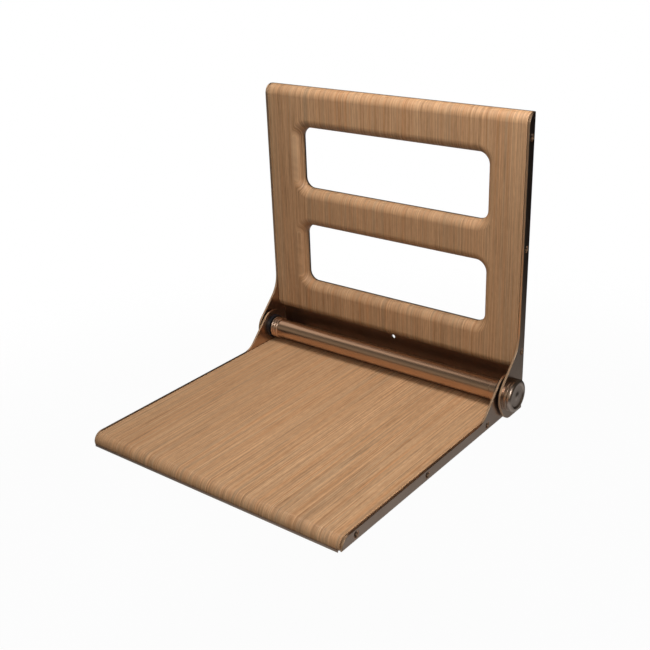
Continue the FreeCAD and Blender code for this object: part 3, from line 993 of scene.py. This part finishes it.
# Share of plain white for this ray: all of white for the camera, a part of it for reflections
def whiteShare(tree, place, white, mirror):
    path = addNode(tree, "ShaderNodeLightPath", place)
    mirrored = maths(tree, "ADD", (place[0] + 200, place[1] - 200), path.outputs["Is Glossy Ray"],
                     path.outputs["Is Transmission Ray"])
    seen = maths(tree, "MULTIPLY_ADD", (place[0] + 400, place[1]), mirrored, mirror,
                 path.outputs["Is Camera Ray"])
    return maths(tree, "MULTIPLY", (place[0] + 600, place[1]), seen, white)


def makeWorld():
    world = bpy.data.worlds.new("studioWorld")
    scene.world = world
    world.use_nodes = True
    tree = world.node_tree
    tree.nodes.clear()
    coords = addNode(tree, "ShaderNodeTexCoord", (-900, 0))
    split = addNode(tree, "ShaderNodeSeparateXYZ", (-700, 0))
    join(tree, coords.outputs["Generated"], split.inputs["Vector"])
    height = spread(tree, split.outputs["Z"], (-500, 0), -1.0, 1.0, 0.0, 1.0)
    sky = ramp(tree, height, (-300, 0), studio["sky"])
    behind = spread(tree, split.outputs["Y"], (-500, -300),
                    -studio["skyTurn"], studio["skyTurn"], 0.0, 1.0)
    sky = mixColour(tree, "MULTIPLY", (-150, 0), behind, sky, opaque(studio["skyBehind"]))
    light = addNode(tree, "ShaderNodeBackground", (0, 100))
    light.inputs["Strength"].default_value = studio["skyStrength"]
    join(tree, sky, light.inputs["Color"])
    white = addNode(tree, "ShaderNodeBackground", (0, -100))
    white.inputs["Color"].default_value = opaque((1.0, 1.0, 1.0))
    mix = addNode(tree, "ShaderNodeMixShader", (300, 0))
    join(tree, whiteShare(tree, (-600, 400), 1.0, studio["wallMirror"]), mix.inputs["Fac"])
    join(tree, light.outputs["Background"], mix.inputs[1])
    join(tree, white.outputs["Background"], mix.inputs[2])
    output = addNode(tree, "ShaderNodeOutputWorld", (500, 0))
    join(tree, mix.outputs["Shader"], output.inputs["Surface"])


def areaLamp(name, place, aim, size, power, colour, mirrored):
    data = bpy.data.lights.new(name, "AREA")
    data.color = colour
    data.shape = "SQUARE"
    data.size = size
    data.energy = power
    lamp = bpy.data.objects.new(name, data)
    lamp.visible_glossy = mirrored
    lamp.location = place
    lamp.rotation_mode = "QUATERNION"
    lamp.rotation_quaternion = (Vector(aim) - Vector(place)).to_track_quat("-Z", "Y")
    scene.collection.objects.link(lamp)


def floorMaterial():
    material = bpy.data.materials.new("studioFloor")
    material.use_nodes = True
    tree = material.node_tree
    tree.nodes.clear()
    matte = addNode(tree, "ShaderNodeBsdfDiffuse", (0, 200))
    matte.inputs["Color"].default_value = opaque(studio["floorColour"])
    glow = addNode(tree, "ShaderNodeEmission", (0, 0))
    seen = addNode(tree, "ShaderNodeMixShader", (300, 200))
    white = whiteShare(tree, (-700, 500), studio["floorWhite"], studio["floorMirror"])
    join(tree, white, seen.inputs["Fac"])
    join(tree, matte.outputs["BSDF"], seen.inputs[1])
    join(tree, glow.outputs["Emission"], seen.inputs[2])
    coords = addNode(tree, "ShaderNodeTexCoord", (-600, -300))
    # the floor fades out with the distance from the middle, so it shows no border
    flat = addNode(tree, "ShaderNodeVectorMath", (-400, -300), operation="MULTIPLY")
    flat.inputs[1].default_value = (1.0, 1.0, 0.0)
    join(tree, coords.outputs["Object"], flat.inputs[0])
    reach = addNode(tree, "ShaderNodeVectorMath", (-200, -300), operation="LENGTH")
    join(tree, flat.outputs["Vector"], reach.inputs[0])
    fade = addNode(tree, "ShaderNodeMapRange", (0, -300), interpolation_type="SMOOTHSTEP")
    fade.inputs["From Min"].default_value = studio["floorFadeStart"]
    fade.inputs["From Max"].default_value = studio["floorFadeEnd"]
    join(tree, reach.outputs["Value"], fade.inputs["Value"])
    clear = addNode(tree, "ShaderNodeBsdfTransparent", (300, -100))
    whole = addNode(tree, "ShaderNodeMixShader", (600, 0))
    join(tree, fade.outputs["Result"], whole.inputs["Fac"])
    join(tree, seen.outputs["Shader"], whole.inputs[1])
    join(tree, clear.outputs["BSDF"], whole.inputs[2])
    output = addNode(tree, "ShaderNodeOutputMaterial", (900, 0))
    join(tree, whole.outputs["Shader"], output.inputs["Surface"])
    return material


def makeFloor():
    reach = studio["floorFadeEnd"] * 1.1  # a little past the end of the fade
    height = cadBox[0].z - studio["floorDrop"]
    corners = [(-reach, -reach, height), (reach, -reach, height),
               (reach, reach, height), (-reach, reach, height)]
    mesh = bpy.data.meshes.new("studioFloor")
    mesh.from_pydata(corners, [], [(0, 1, 2, 3)])
    floor = bpy.data.objects.new("studioFloor", mesh)
    scene.collection.objects.link(floor)
    mesh.materials.append(floorMaterial())


makeCamera()
makeWorld()
for lamp in studio["lamps"]:
    areaLamp(*lamp)
makeFloor()
scene.view_settings.view_transform = "Standard"
print("studio ready")
